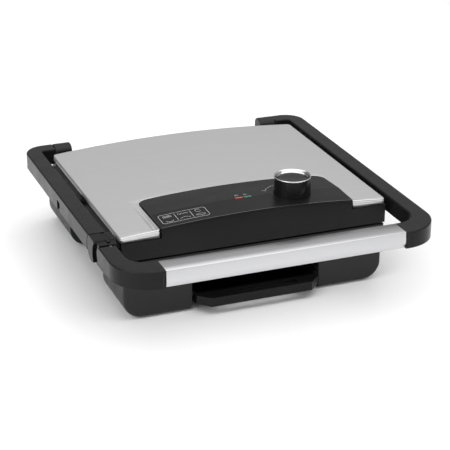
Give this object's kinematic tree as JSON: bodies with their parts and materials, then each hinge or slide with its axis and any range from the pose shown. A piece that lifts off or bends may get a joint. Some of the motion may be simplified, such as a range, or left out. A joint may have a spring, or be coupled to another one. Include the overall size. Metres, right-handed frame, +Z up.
{
  "type": "panini press",
  "caption": "Contact grill press with ribbed plates, a hinged handle frame carrying a floating brushed-steel lid, a control knob and a slide-out drip tray.",
  "frame": {"origin": "centre of the closed press's outline, on the surface that the feet stand on", "axes": "+X to the user's right, +Y from the front bar to the hinge, +Z up"},
  "size_m": [0.37, 0.407, 0.1304],
  "materials": {
    "base_plastic": "fine moulded texture",
    "tower_plastic": "fine moulded texture",
    "inner_plastic": "plain moulded",
    "rubber": "matte",
    "plate_coat": "dark non-stick coat on cast aluminium",
    "element_sheath": "dull heat-tinted sheath",
    "pressed_sheet": "plain pressed sheet",
    "fastener_steel": "zinc-plated",
    "tray_plastic": "gloss",
    "frame_plastic": "satin moulded",
    "link_plastic": "gloss",
    "strip_steel": "plain bar",
    "bar_aluminium": "satin anodised",
    "lid_steel": "brushed",
    "panel_plastic": "semi-gloss",
    "lamp_glass": "clear",
    "lens_red": "translucent red",
    "lens_green": "translucent green",
    "knob_plastic": "satin",
    "knob_chrome": "polished"
  },
  "bodies": {
    "base": {"base_tub": "base_plastic", "leg_front_left": "base_plastic", "leg_front_right": "base_plastic", "leg_rear": "base_plastic", "base_rim": "base_plastic", "tray_rail_left": "base_plastic", "tray_rail_right": "base_plastic", "drain_spout": "base_plastic", "hinge_tower_left": "tower_plastic", "hinge_tower_right": "tower_plastic", "terminal_block": "inner_plastic", "cord_inlet": "base_plastic", "rubber_feet": "rubber", "lower_plate": "plate_coat", "lower_element": "element_sheath", "lower_reflector": "pressed_sheet", "base_screws": "fastener_steel", "tower_screws": "fastener_steel", "lower_plate_screws": "fastener_steel"},
    "tray": {"drip_tray": "tray_plastic"},
    "frame": {"arm_left": "frame_plastic", "arm_right": "frame_plastic", "corner_left": "frame_plastic", "arm_left_floor": "frame_plastic", "arm_right_floor": "frame_plastic", "corner_left_floor": "frame_plastic", "hinge_bush_left": "frame_plastic", "hinge_bush_right": "frame_plastic", "arm_link": "link_plastic", "pivot_bush_left": "link_plastic", "pivot_bush_right": "link_plastic", "arm_strip_left": "strip_steel", "arm_strip_right": "strip_steel", "handle_core": "strip_steel", "hinge_pin_left": "fastener_steel", "hinge_pin_right": "fastener_steel", "pivot_pin_left": "fastener_steel", "pivot_pin_right": "fastener_steel", "frame_screws": "fastener_steel", "handle_sleeve": "bar_aluminium"},
    "selector": {"height_selector": "link_plastic"},
    "lid": {"lid_housing": "frame_plastic", "lid_fascia": "frame_plastic", "lid_cover": "lid_steel", "control_panel": "panel_plastic", "upper_plate": "plate_coat", "upper_element": "element_sheath", "upper_reflector": "pressed_sheet", "pivot_bracket_left": "pressed_sheet", "pivot_bracket_right": "pressed_sheet", "thermostat": "pressed_sheet", "upper_plate_screws": "fastener_steel", "thermal_fuse": "inner_plastic", "indicator_lamps": "lamp_glass", "lens_red": "lens_red", "lens_green": "lens_green"},
    "knob": {"knob_body": "knob_plastic", "knob_cap": "knob_plastic", "knob_ring": "knob_chrome", "thermostat_shaft": "fastener_steel"}
  },
  "joints": [
    {"name": "frame_hinge", "type": "hinge", "parent": "base", "child": "frame", "pos_m": [0, 0.19375, 0.08825], "axis": [-1, 0, 0], "range_deg": [0, 105]},
    {"name": "lid_float", "type": "hinge", "parent": "frame", "child": "lid", "pos_m": [0, 0.0365, 0.086], "axis": [-1, 0, 0], "range_deg": [-7.5, 0]},
    {"name": "knob_turn", "type": "hinge", "parent": "lid", "child": "knob", "pos_m": [0.056, -0.08, 0.118], "axis": [0, 0, -1], "range_deg": [0, 270]},
    {"name": "height_selector_turn", "type": "hinge", "parent": "frame", "child": "selector", "pos_m": [-0.172, -0.0945, 0.0855], "axis": [1, 0, 0], "range_deg": [0, 90]},
    {"name": "drip_tray_slide", "type": "slide", "parent": "base", "child": "tray", "axis": [0, -1, 0], "range_m": [0, 0.13]}
  ],
  "couplings": [
    {"joint": "lid_float", "follows": "frame_hinge", "ratio": -0.07}
  ]
}
